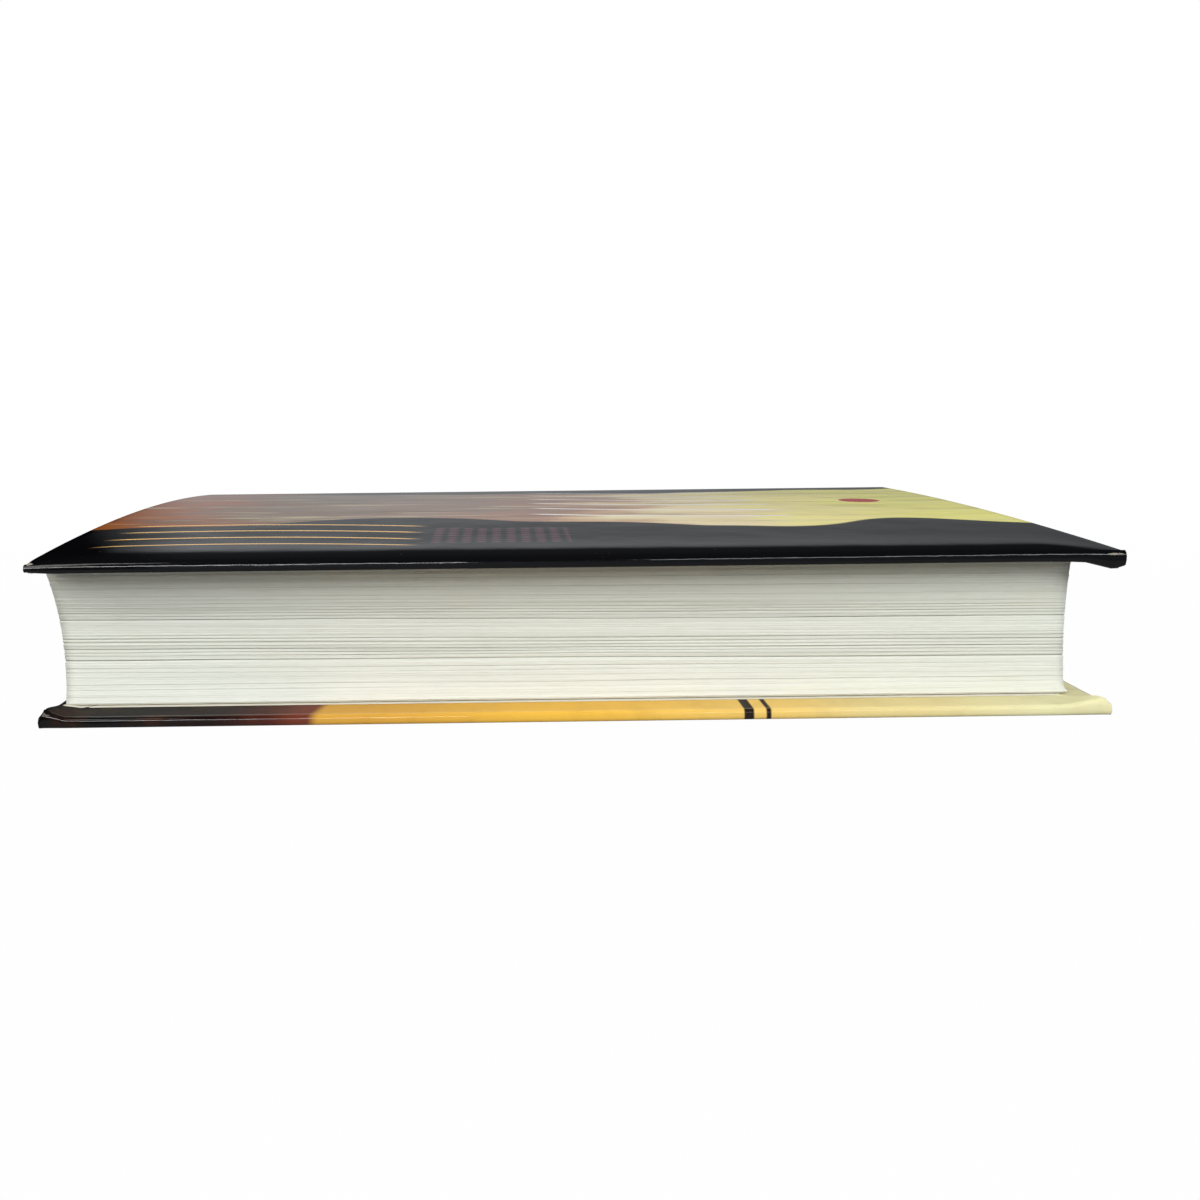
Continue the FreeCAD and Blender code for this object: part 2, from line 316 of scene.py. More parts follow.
def backDesign(tree, vector, along, across):
    # a run of colours along the book from black through maroon and gold to sand
    stray = lumps(tree, vector, (40.0, 40.0, 40.0), 0.2, 0.8)
    level = add(tree, "Math", {0: across, 1: backPrint["lean"], 2: along}, operation="MULTIPLY_ADD")[0]
    level = add(tree, "Math", {0: stray, 1: 5.0, 2: level}, operation="MULTIPLY_ADD")[0]
    tint = blended(tree, level, backPrint["run"])
    tint = painted(tree, tint, lumps(tree, vector, (9.0, 9.0, 9.0), 0.45, 0.8), 0.15, "#7c4519")
    reach = stripe(tree, across, -30.0, backPrint["barReach"], 0.5)
    for low, high in backPrint["bars"]:
        bar = add(tree, "Math", {0: stripe(tree, along, low, high, 0.4), 1: reach}, operation="MULTIPLY")[0]
        tint = painted(tree, tint, bar, 1.0, backPrint["bar"])
    spineSide = stripe(tree, across, backPrint["darkFrom"], 400.0, 6.0)
    return painted(tree, tint, spineSide, 1.0, frontPrint["black"])


def spineDesign(tree, vector, along, across):
    # plain black with a faint cloudiness in the ink
    cloud = lumps(tree, vector, (30.0, 30.0, 30.0), 0.3, 0.8)
    return painted(tree, frontPrint["black"], cloud, 0.3, "#101014")


# Cut edges of uncoated book paper, sawn and pressed: matt, with a fine line for each leaf and
# darker lines of painted shade in the openings where the sections part. A leaf is 0.11 mm thick, finer than
# the render can show, so the lines are drawn about three times as coarse.

leaves = {
    "stack": 27.8,
    "lineSize": 0.3,
    "paper": "#e4e4d9",
    "shade": "#aeae9b",
    # the painted shade in the openings where the sections part, and the small marks
    "gap": "#6f6e58",
    "groups": [(0.3, 0.45), (0.595, 0.7)],  # where the lines stand out, as shares of the stack
    "yellowed": "#d8cda3",
    # share of the stack from below, width, darkness of the painted shade in the opening
    "gaps": [(0.286, 0.15, 0.75), (0.58, 0.14, 0.7), (0.315, 0.1, 0.5), (0.338, 0.1, 0.55),
             (0.362, 0.11, 0.6), (0.385, 0.1, 0.5), (0.41, 0.1, 0.5), (0.437, 0.12, 0.6),
             (0.46, 0.1, 0.3), (0.605, 0.1, 0.4), (0.628, 0.1, 0.5), (0.65, 0.1, 0.5),
             (0.672, 0.1, 0.45), (0.7, 0.1, 0.3), (0.76, 0.1, 0.3), (0.83, 0.1, 0.3),
             (0.9, 0.1, 0.3), (0.23, 0.12, 0.35), (0.2, 0.1, 0.3), (0.165, 0.1, 0.25),
             (0.12, 0.12, 0.4), (0.085, 0.1, 0.25), (0.04, 0.1, 0.2)],
    "fan": 0.03,  # how far the sections lean from tail to head, as a share of the stack
}


def pageEdges():
    material, tree = newMaterial("uncoated book paper, cut edges")
    vector, _, up = sheetPoint(tree)
    stray = lumps(tree, vector, (90.0, 5.0, 90.0), 0.0, 1.0, 2.0)
    level = add(tree, "Math", {0: stray, 1: 0.5, 2: up}, operation="MULTIPLY_ADD")[0]
    level = add(tree, "Math", {0: level, 1: 0.25}, operation="SUBTRACT")[0]
    fine = lumps(tree, vector, (90.0, leaves["lineSize"], 90.0), 0.35, 0.7, 2.0)
    short = lumps(tree, vector, (5.0, leaves["lineSize"], 5.0), 0.4, 0.75, 2.0, 5.0)
    broad = lumps(tree, vector, (260.0, 1.6, 260.0), 0.4, 0.75, 1.0, 2.0)
    grouped = 0.0
    for low, high in leaves["groups"]:
        band = stripe(tree, level, low * leaves["stack"], high * leaves["stack"], 1.2)
        grouped = add(tree, "Math", {0: band, 1: grouped}, operation="MAXIMUM")[0]
    lined = add(tree, "Math", {0: grouped, 1: 0.3, 2: 0.16}, operation="MULTIPLY_ADD")[0]
    tint = painted(tree, leaves["paper"], fine, lined, leaves["shade"])
    tint = painted(tree, tint, short, 0.14, leaves["shade"])
    tint = painted(tree, tint, broad, 0.12, leaves["shade"])
    breaks = lumps(tree, vector, (70.0, 3.0, 70.0), 0.15, 0.4, 2.0, 6.0)
    # painted shade in the openings where the sections part, broken in places
    dark = 0.0
    for share, width, depth in leaves["gaps"]:
        middle = share * leaves["stack"]
        stroke = stripe(tree, level, middle - width / 2, middle + width / 2, 0.12)
        stroke = add(tree, "Math", {0: stroke, 1: depth}, operation="MULTIPLY")[0]
        dark = add(tree, "Math", {0: stroke, 1: dark}, operation="MAXIMUM")[0]
    dark = add(tree, "Math", {0: dark, 1: breaks}, operation="MULTIPLY")[0]
    tint = painted(tree, tint, dark, 1.0, leaves["gap"])
    aged = lumps(tree, vector, (26.0, 8.0, 26.0), 0.6, 0.8, 3.0, 4.0)
    tint = painted(tree, tint, aged, 0.2, leaves["yellowed"])
    marks = lumps(tree, vector, (6.0, 1.6, 6.0), 0.7, 0.8, 4.0, 8.0)
    tint = painted(tree, tint, marks, 0.3, leaves["gap"])
    finishMaterial(tree, {"Base Color": tint, "Roughness": 0.85, "Specular IOR Level": 0.2,
                          "Normal": bumped(tree, [(fine, -0.05), (dark, -0.12)])})
    return material


def plainPaper(name, tone, shade, fibre):
    # uncoated paper, matt and a little cloudy with its fibres
    material, tree = newMaterial(name)
    vector = objectPoint(tree)[0]
    tint = painted(tree, tone, lumps(tree, vector, (6.0, 6.0, 6.0), 0.3, 0.8), 0.6, shade)
    threads = lumps(tree, vector, (fibre, fibre / 3, fibre), 0.3, 0.8, 2.0)
    tint = painted(tree, tint, threads, 0.2, shade)
    finishMaterial(tree, {"Base Color": tint, "Roughness": 0.8, "Specular IOR Level": 0.25,
                          "Normal": bumped(tree, [(threads, 0.02)])})
    return material


def pressedGreyboard():
    # board pressed from mixed waste paper: grey, matt and flecked
    material, tree = newMaterial("greyboard, pressed")
    vector = objectPoint(tree)[0]
    fleck = lumps(tree, vector, (1.4, 1.4, 1.4), 0.35, 0.75, 4.0)
    tint = painted(tree, "#8d877a", fleck, 0.8, "#6b665b")
    finishMaterial(tree, {"Base Color": tint, "Roughness": 0.9, "Specular IOR Level": 0.2,
                          "Normal": bumped(tree, [(fleck, 0.05)])})
    return material


def stiffenedMull():
    # open plain weave of cotton, stiffened with size; its threads are 1.2 mm apart
    material, tree = newMaterial("mull, sized cotton")
    _, along, _, up = objectPoint(tree)
    warp = add(tree, "Math", {0: along, 1: 0.6}, operation="PINGPONG")[0]
    weft = add(tree, "Math", {0: up, 1: 0.6}, operation="PINGPONG")[0]
    middle = add(tree, "Math", {0: warp, 1: weft}, operation="MINIMUM")[0]
    thread = stripe(tree, middle, -1.0, 0.22, 0.1)
    tint = painted(tree, "#a4977a", thread, 1.0, "#e2dccb")
    finishMaterial(tree, {"Base Color": tint, "Roughness": 0.9, "Normal": bumped(tree, [(thread, 0.12)])})
    return material


def headbandThread():
    # cotton thread wound round a cord, two turns of each colour: soft sheen, a rib for each turn of 0.7 mm
    material, tree = newMaterial("cotton headband, wound")
    along = sheetPoint(tree)[1]
    rib = add(tree, "Math", {0: along, 1: 0.35}, operation="PINGPONG")[0]
    turn = add(tree, "Math", {0: along, 1: 1.4}, operation="PINGPONG")[0]
    tint = painted(tree, "#e4decd", stripe(tree, turn, 0.7, 9.0, 0.1), 1.0, "#9f7f4d")
    finishMaterial(tree, {"Base Color": tint, "Roughness": 0.6, "Sheen Weight": 0.2,
                          "Normal": bumped(tree, [(rib, 0.3)])})
    return material


# Modelling helpers; a sheet is made flat, in millimetres, as (x, u, minus depth), and then takes
# its real form


def gridSheet(length, width, steps, crowd=1.0):
    # a flat grid from u = 0 to width; a crowd over 1 draws its rows towards u = 0
    shape = bmesh.new()
    bmesh.ops.create_grid(shape, x_segments=steps[0], y_segments=steps[1], size=0.5)
    for vertex in shape.verts:
        vertex.co.x *= length
        vertex.co.y = width * (vertex.co.y + 0.5) ** crowd
    return shape


def thicken(shape, depth):
    made = bmesh.ops.extrude_face_region(shape, geom=shape.faces[:])
    lower = [v for v in made["geom"] if isinstance(v, bmesh.types.BMVert)]
    bmesh.ops.translate(shape, vec=(0, 0, -depth), verts=lower)
    bmesh.ops.recalc_face_normals(shape, faces=shape.faces)


def cut(shape, spot, across):
    # a line of edges right through the sheet
    geometry = shape.verts[:] + shape.edges[:] + shape.faces[:]
    bmesh.ops.bisect_plane(shape, geom=geometry, dist=1e-4, plane_co=spot, plane_no=across)


def onPlane(edge, axis, value):
    return all(abs(v.co[axis] - value) < 1e-3 for v in edge.verts)


def shaped(shape, place):
    # the flat sheet takes its real form
    for vertex in shape.verts:
        vertex.co = place(vertex.co.x, vertex.co.y, -vertex.co.z)
    return shape


def roundEdges(shape, edges, radius, segments):
    bmesh.ops.bevel(shape, geom=edges, offset=radius, offset_type="OFFSET", segments=segments, profile=0.5,
                    affect="EDGES", clamp_overlap=True, material=-1)
    shape.normal_update()


def drop(shape, test):
    faces = [f for f in shape.faces if test(f.calc_center_median(), f.normal)]
    bmesh.ops.delete(shape, geom=faces, context="FACES")


def aroundEdge(out, depth, thickness, radius):
    # how far the sheet has run, from the end of its flat top, round an edge
    if out <= 0 and depth < thickness / 2:
        return out
    quarter = radius * math.pi / 2
    if out <= 0:
        return 2 * quarter + thickness - 2 * radius - out
    if depth <= radius:
        return radius * math.atan2(out, radius - depth)
    if depth < thickness - radius:
        return quarter + depth - radius
    return quarter + thickness - 2 * radius + radius * math.atan2(depth - thickness + radius, out)


def layOut(shape, length, width, thickness, radius, closedFarSide):
    # the UV map of a wrapped sheet: the place of each point on the paper before it was folded
    layer = shape.loops.layers.uv.new("sheet")
    for face in shape.faces:
        centre = face.calc_center_median()
        toEnd, toFore = length / 2 - abs(centre.x), centre.y
        toFar = width - centre.y if closedFarSide else math.inf
        for loop in face.loops:
            x, u, depth = loop.vert.co.x, loop.vert.co.y, -loop.vert.co.z
            if toEnd <= min(toFore, toFar):
                flatEnd = length / 2 - radius
                x = math.copysign(flatEnd + aroundEdge(abs(x) - flatEnd, depth, thickness, radius), x)
            elif toFore <= toFar:
                u = radius - aroundEdge(radius - u, depth, thickness, radius)
            else:
                u = width - radius + aroundEdge(u - width + radius, depth, thickness, radius)
            loop[layer].uv = (x / 1000, u / 1000)


def finishPiece(name, shape, material, middle, wall=None):
    # the shape becomes an object whose faces look away from middle; a wall under 0 goes outwards
    bmesh.ops.recalc_face_normals(shape, faces=shape.faces)
    facing = sum(f.normal.dot(f.calc_center_median() - middle) * f.calc_area() for f in shape.faces)
    if facing < 0:
        bmesh.ops.reverse_faces(shape, faces=shape.faces)
    for face in shape.faces:
        face.smooth = True
    mesh = bpy.data.meshes.new(name)
    shape.to_mesh(mesh)
    shape.free()
    mesh.materials.append(material)
    piece = bpy.data.objects.new(name, mesh)
    bpy.context.scene.collection.objects.link(piece)
    if wall:
        solid = piece.modifiers.new("paper", "SOLIDIFY")
        solid.thickness = abs(wall) / 1000
        solid.offset = -math.copysign(1, wall)
    return piece


# The case: printed paper wrapped round the boards, with mitred turn-ins inside

case = {
    "rounding": 0.95,
    "turnIn": 15.0,
    "steps": (84, 52),
    "crowd": 1.25,  # draws the rows of the grid towards the fore edge
    # rows of the sheet past the board, across the joint to the spine
    "jointRows": [145.2, 145.5, 145.9, 146.4, 147.0, 147.8, 148.7, 149.7, 150.7, 151.7, 152.5, 153.2, 153.9,
                  154.6, 155.3, 156.0],
    "grooveFloor": 2.14,  # depths of the joint's groove, in it and at the spine
    "grooveLip": 1.28,
    "grooveDown": (144.9, 147.2),  # where it falls from the board and rises to the spine
    "grooveUp": (151.6, 156.2),
    "twoLayers": 0.34,  # the outer paper and its turn-in, where no board lies between them
    "bend": (148.6, 154.4),  # the strip of the joint that bends when the cover opens
    "rollHeight": 0.85,  # the front board's edge rolls down from a slight ridge
    "rollReach": 5.0,
    "rollEnd": 15.0,  # over which the ridge dies out towards tail and head
    # the fore edges: how far round a plain edge, how far out and how deep; nearly flat in the middle
    "edge": [(0.0, 0.0, 0.0), (0.3, 0.3, 0.05), (0.7, 0.6, 0.22), (1.1, 0.78, 0.52), (1.5, 0.88, 0.9),
             (1.9, 0.94, 1.35), (2.2, 0.95, 1.65), (2.6, 0.85, 2.0), (2.95, 0.55, 2.2), (3.385, 0.0, 2.3)],
    "mitreRidge": 0.22,
    "mitreRows": (-1.4, -0.7, 0.0, 0.7, 1.4),
    "swollenCorner": {"at": (106.5, 0.0), "reach": (3.4, 4.5), "down": 1.5},
    "dentedCorner": {"at": (-108.5, 0.5), "reach": (2.2, 2.2), "down": 0.25, "up": 0.35},
    "bruise": {"at": (62.0, 145.0), "reach": (9.0, 3.0), "up": 0.1},
    # the back cover's corners are thick with folded paper
    "foldedCorners": [{"at": (-107.8, 2.6), "reach": (2.3, 5.0), "up": 1.7},
                      {"at": (107.0, 1.6), "reach": (5.0, 3.6), "up": 1.2}],
}


def hump(x, u, spot):
    away = ((p - at) / reach for p, at, reach in zip((x, u), spot["at"], spot["reach"]))
    return math.exp(-sum(a * a for a in away))


def wrapDepth(u, share):
    # depth below the cover's outer face, for a share of the way from its outer to its inner paper
    outer = case["grooveFloor"] * eased(u, *case["grooveDown"])
    outer -= (case["grooveFloor"] - case["grooveLip"]) * eased(u, *case["grooveUp"])
    inner = book["cover"] + (case["grooveFloor"] + case["twoLayers"] - book["cover"]) * eased(u, 145.0, 147.5)
    inner -= (case["grooveFloor"] - case["grooveLip"]) * eased(u, *case["grooveUp"])
    return between(outer, inner, share)


def foreEdge(u, depth):
    # moves a point of the plain rounded fore edge onto the real one, which is flatter
    out = case["rounding"] - u
    if out <= 0:
        return u, depth / book["cover"]
    run = aroundEdge(out, depth, book["cover"], case["rounding"])
    for first, second in zip(case["edge"], case["edge"][1:]):
        if run <= second[0] + 1e-6:
            share = (run - first[0]) / (second[0] - first[0])
            out, depth = between(first[1], second[1], share), between(first[2], second[2], share)
            break
    return case["rounding"] - out, depth / book["cover"]


def foldedLift(x, u):
    return sum(corner["up"] * hump(x, u, corner) for corner in case["foldedCorners"])


def mitreLift(x, u, share):
    # the folded corner of the turn-ins stands a little proud along its diagonal
    if share < 0.9:
        return 0.0
    toEnd = book["length"] / 2 - abs(x)
    reach = case["turnIn"]
    inside = min(toEnd, u)
    if not 1.0 < inside < reach:
        return 0.0
    return case["mitreRidge"] * math.exp(-((toEnd - u) / 0.7) ** 2) * eased(reach - inside, 0.0, 3.0)


def frontPlace(x, u, depth):
    u, share = foreEdge(u, depth)
    near = max(u, 0.0) / case["rollReach"]
    ridge = case["rollHeight"] * near * math.exp(1 - near) * (1 - share)
    ridge *= eased(book["length"] / 2 - abs(x), 0.0, case["rollEnd"])
    corner, dent, bruise = case["swollenCorner"], case["dentedCorner"], case["bruise"]
    z = frontHeight(x, min(u, book["panelWidth"])) - wrapDepth(u, share) + ridge - mitreLift(x, u, share)
    z -= corner["down"] * hump(x, u, corner) * share
    z += dent["up"] * hump(x, u, dent) * share - dent["down"] * hump(x, u, dent) * (1 - share)
    z += bruise["up"] * hump(x, u, bruise) * (1 - share) * eased(145.0 - u, 0.0, 4.0)
    return placed(x, u, z)


def backPlace(x, u, depth):
    u, share = foreEdge(u, book["cover"] - depth)
    share = 1 - share
    lift = foldedLift(x, u) * share * eased(book["length"] / 2 - abs(x), -0.3, 1.5)
    return placed(x, u, wrapDepth(u, share) + mitreLift(x, u, share) + lift)


def cutMitre(shape, end, offset):
    # a line of edges across the turn-ins at one corner, beside its diagonal
    inner = book["length"] / 2 - case["turnIn"]
    faces = [f for f in shape.faces if f.normal.z < -0.9 and f.calc_center_median().x * end > inner
             and f.calc_center_median().y < case["turnIn"]]
    geometry = {part for f in faces for part in (f, *f.verts, *f.edges)}
    bmesh.ops.bisect_plane(shape, geom=list(geometry), dist=1e-4,
                           plane_co=(end * book["length"] / 2, offset, 0), plane_no=(end, 1, 0))


def coverSheet(name, place, material, nodeName, height):
    length, width, radius = book["length"], book["panelWidth"], case["rounding"]
    shape = gridSheet(length, width, case["steps"], case["crowd"])
    thicken(shape, book["cover"])
    sides = [(0, -length / 2), (0, length / 2), (1, 0.0), (2, 0.0), (2, -book["cover"])]
    roundEdges(shape, [e for e in shape.edges if sum(onPlane(e, *side) for side in sides) == 2], radius, 6)
    inner = length / 2 - case["turnIn"]
    for x in (-inner, inner):
        cut(shape, (x, 0, 0), (1, 0, 0))
    cut(shape, (0, case["turnIn"], 0), (0, 1, 0))
    for end in (-1, 1):
        for offset in case["mitreRows"]:
            cutMitre(shape, end, offset)
    drop(shape, lambda c, n: (n.z < -0.9 and abs(c.x) < inner and c.y > case["turnIn"]) or n.y > 0.9)
    edges = [e for e in shape.edges if e.is_boundary and onPlane(e, 1, width)]
    for start, end in zip([width] + case["jointRows"], case["jointRows"]):
        made = bmesh.ops.extrude_edge_only(shape, edges=edges)
        fresh = {v for v in made["geom"] if isinstance(v, bmesh.types.BMVert)}
        edges = [e for e in made["geom"] if isinstance(e, bmesh.types.BMEdge) and fresh.issuperset(e.verts)]
        bmesh.ops.translate(shape, vec=(0, end - start, 0), verts=list(fresh))
    layOut(shape, length, width, book["cover"], radius, False)
    piece = finishPiece(name, shaped(shape, place), material, place(0, 70, book["cover"] / 2), book["paper"])
    start, end = (placed(0, u, height) for u in case["bend"])
    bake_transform(piece)
    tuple(start)
    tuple(end)
    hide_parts(nodeName)


# The same paper over the card in the spine

spine = {
    "centreU": 127.011,
    "middle": 16.86,
    "inner": 31.789,  # radius of the pages' back
    "outer": 33.799,
    "halfHeight": 15.6,
    "wall": 0.95,
    "rounding": 0.45,
    "steps": (70, 22),
}


def spinePlace(x, v, depth):
    # the strip's long edges are cut level with the table
    reach = spine["outer"]
    away = reach - depth
    end = math.asin(spine["halfHeight"] / reach)
    angle = (v / reach - end) * math.asin(spine["halfHeight"] / away) / end
    return placed(x, spine["centreU"] + away * math.cos(angle), spine["middle"] + away * math.sin(angle))


def spineSheet(material):
    length = book["length"]
    width = 2 * spine["outer"] * math.asin(spine["halfHeight"] / spine["outer"])
    shape = gridSheet(length, width, spine["steps"])
    thicken(shape, spine["wall"])
    sides = [(0, -length / 2), (0, length / 2), (1, 0.0), (1, width), (2, 0.0), (2, -spine["wall"])]
    outline = [e for e in shape.edges if sum(onPlane(e, *side) for side in sides) == 2]
    roundEdges(shape, outline, spine["rounding"], 5)
    inner = length / 2 - case["turnIn"]
    for x in (-inner, inner):
        cut(shape, (x, 0, 0), (1, 0, 0))
    drop(shape, lambda c, n: n.z < -0.9 and abs(c.x) < inner)
    layOut(shape, length, width, spine["wall"], spine["rounding"], True)
    middle = placed(0, spine["centreU"], spine["middle"])
    piece = finishPiece("spineSheet", shaped(shape, spinePlace), material, middle, book["paper"])
    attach(piece, "text_block")
    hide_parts("spine_cover")


# The pages: one block of leaves, hollow at the fore edge and round at the spine

pages = {
    "depth": 2.96,  # below the covers' outer faces
    "foreEdge": 8.0,
    "spineCorner": 155.6,
    "tail": -106.4,
    "head": 101.9,
    "spineRound": 3.2,
    "hollow": (3.8, 1.6),  # at the tail and at the head
    "tailFlare": (-0.2, 0.9, 1.8),  # at the bottom, in the middle and at the top
    "headFlare": (1.0, 0.7, 0.2),
    "lastLeaves": 1.0,  # how far the lowest leaves stick out at the head
    "lastShare": 0.06,  # of the stack
    "steps": (96, 56),
    "layers": 120,
    "seed": 11,
    "uneven": 0.06,
    "setBack": 0.08,  # so that no leaf stands out past the block
    "gapDepth": 0.13,
    "leaf": (208.0, 148.0),  # rounded, as the pattern of the edges takes it
    "endsAt": (300.0, 500.0),  # where the two ends lie on the pattern of the edges
}


def throughThree(low, middle, high, share):
    # a parabola through three values
    return (low * (1 - share) * (1 - 2 * share) + middle * 4 * share * (1 - share)
            + high * share * (2 * share - 1))


def leafShare(a, level):
    # the sections lean a little from tail to head
    return level - leaves["fan"] * (a - 0.5) * 4 * level * (1 - level)


def pagePlace(a, b, level, inset=(0.0, 0.0)):
    # from shares along the block, from fore edge to spine, and up
    q = leafShare(a, level)
    tail = pages["tail"] - throughThree(*pages["tailFlare"], q)
    head = pages["head"] + throughThree(*pages["headFlare"], q)
    head += pages["lastLeaves"] * max(0.0, 1 - q / pages["lastShare"]) ** 2
    x = between(tail, head, a)
    hollow = between(*pages["hollow"], x / book["length"] + 0.5)
    fore = pages["foreEdge"] + hollow * 4 * q * (1 - q)
    back = pages["spineCorner"] + pages["spineRound"] * 4 * q * (1 - q)
    u = between(fore, back, b)
    low, high = pages["depth"], frontHeight(x, u) - pages["depth"]
    return placed(x + inset[0], u + inset[1], between(low, high, q))


def pageBlock(material):
    chance = random.Random(pages["seed"])
    shape = bmesh.new()
    bmesh.ops.create_grid(shape, x_segments=pages["steps"][0], y_segments=pages["steps"][1], size=0.5)
    layers = pages["layers"]
    bottom = shape.faces[:]
    rim = [e for e in shape.edges if e.is_boundary]
    for number in range(layers):
        made = bmesh.ops.extrude_edge_only(shape, edges=rim)
        fresh = {v for v in made["geom"] if isinstance(v, bmesh.types.BMVert)}
        rim = [e for e in made["geom"] if isinstance(e, bmesh.types.BMEdge) and fresh.issuperset(e.verts)]
        bmesh.ops.translate(shape, vec=(0, 0, 1 / layers), verts=list(fresh))
    made = bmesh.ops.duplicate(shape, geom=bottom)
    top = [v for v in made["geom"] if isinstance(v, bmesh.types.BMVert)]
    bmesh.ops.translate(shape, vec=(0, 0, 1), verts=top)
    bmesh.ops.remove_doubles(shape, verts=shape.verts, dist=1e-5)
    bmesh.ops.recalc_face_normals(shape, faces=shape.faces)
    layer = shape.loops.layers.uv.new("sheet")
    long, wide = pages["leaf"]
    for face in shape.faces:
        ends = abs(face.normal.x) > 0.5
        for loop in face.loops:
            a, b, level = loop.vert.co.x + 0.5, loop.vert.co.y + 0.5, loop.vert.co.z
            run = pages["endsAt"][face.normal.x > 0] + b * wide if ends else a * long
            side = b * wide if abs(face.normal.z) > 0.5 else level * leaves["stack"]
            loop[layer].uv = (run / 1000, side / 1000)
    # each layer of leaves stands in or out a little, and the openings lie deeper
    sway = [(chance.uniform(-1, 1), chance.uniform(0, 6.28), chance.uniform(2, 9))  # how much, phase, rate
            for _ in range(layers + 1)]
    gapDepths = {round(share * layers): depth * pages["gapDepth"] for share, _, depth in leaves["gaps"]}
    for vertex in shape.verts:
        a, b, level = vertex.co.x + 0.5, vertex.co.y + 0.5, vertex.co.z
        number = round(level * layers)
        amount, phase, rate = sway[number]
        inward = pages["setBack"] + pages["uneven"] * amount * (0.7 + 0.3 * math.sin(phase + rate * (a + b)))
        inward = (inward + gapDepths.get(number, 0.0)) * (0 < number < layers)
        inset = (inward * ((a < 1e-6) - (a > 1 - 1e-6)), inward * (b < 1e-6))
        vertex.co = pagePlace(a, b, level, inset)
    piece = finishPiece("pageBlock", shape, material, placed(0, 80, 17))
    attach(piece, "text_block")
    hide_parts("text_block")


# Endpapers: the half pasted to the board, and its strip that bends in the joint

endpaper = {
    "creep": 0.6,  # how far it reaches past the pages at the fore edge
    "depth": 2.33,  # below the cover's outer face
    "foldU": 154.9,
    "fall": 0.28,  # how much deeper it lies at its fold
    "steps": (60, 70),
    "thickness": 0.15,
}


def endpaperSheet(name, isFront, nodeName, material):
    fore = pages["foreEdge"] - endpaper["creep"]
    length = pages["head"] - pages["tail"] + 0.3
    middle = (pages["head"] + pages["tail"]) / 2
    shape = gridSheet(length, endpaper["foldU"] - fore, endpaper["steps"])
    layer = shape.loops.layers.uv.new("sheet")
    for face in shape.faces:
        for loop in face.loops:
            loop[layer].uv = loop.vert.co.xy / 1000

    def place(x, v, _):
        x, u = x + middle, v + fore
        reach = endpaper["depth"] + endpaper["fall"] * eased(u, book["panelWidth"], endpaper["foldU"])
        z = frontHeight(x, min(u, book["panelWidth"])) - reach if isFront else reach + foldedLift(x, u)
        return placed(x, u, z)

    centre = placed(0, 70, book["thickness"] + 40 if isFront else -40)
    piece = finishPiece(name, shaped(shape, place), material, centre, -endpaper["thickness"])
    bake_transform(piece)
    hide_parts(nodeName)


# Headbands: a wound bead over the leaves at the spine, sewn to a flat tape

headband = {
    "bead": 0.58,
    "halfAngle": math.asin(12.9 / 31.8),  # the band's half height over the spine's radius
    "tapeLength": 9.0,
    "tapeWall": 0.3,
    "glue": 0.03,
    "steps": 100,
}


def headbandPiece(name, end, inward, nodeName, material):
    shape = bmesh.new()
    bead, middle = headband["bead"], spine["inner"] - 0.3
    near, far = end - inward * bead, end + inward * headband["tapeLength"]
    bmesh.ops.create_circle(shape, segments=14, radius=bead, matrix=Matrix.Translation((near, middle, 0)))
    low = spine["inner"] + headband["glue"]
    high = low + headband["tapeWall"]
    corners = [shape.verts.new((x, v, 0)) for x, v in ((near, low), (near, high), (far, high), (far, low))]
    for first, second in zip(corners, corners[1:] + corners[:1]):
        shape.edges.new((first, second))
    bmesh.ops.rotate(shape, matrix=Matrix.Rotation(-headband["halfAngle"], 3, "X"), verts=shape.verts)
    bmesh.ops.spin(shape, geom=shape.verts[:] + shape.edges[:], cent=(0, 0, 0), axis=(1, 0, 0),
                   angle=2 * headband["halfAngle"], steps=headband["steps"], use_merge=False)
    bmesh.ops.holes_fill(shape, edges=[e for e in shape.edges if e.is_boundary], sides=0)
    layer = shape.loops.layers.uv.new("sheet")
    for face in shape.faces:
        for loop in face.loops:
            co = loop.vert.co
            loop[layer].uv = (middle * math.atan2(co.z, co.y) / 1000, co.x / 1000)
    centre = placed(end, spine["centreU"], spine["middle"])
    for vertex in shape.verts:
        x, v, z = vertex.co
        vertex.co = placed(x, spine["centreU"] + v, spine["middle"] + z)
    piece = finishPiece(name, shape, material, centre)
    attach(piece, "text_block")
    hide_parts(nodeName)


def finishNode(name, material):
    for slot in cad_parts[name].material_slots:
        slot.material = material


# The stage: a camera where the photograph was taken, a pale floor and a studio's soft lamps

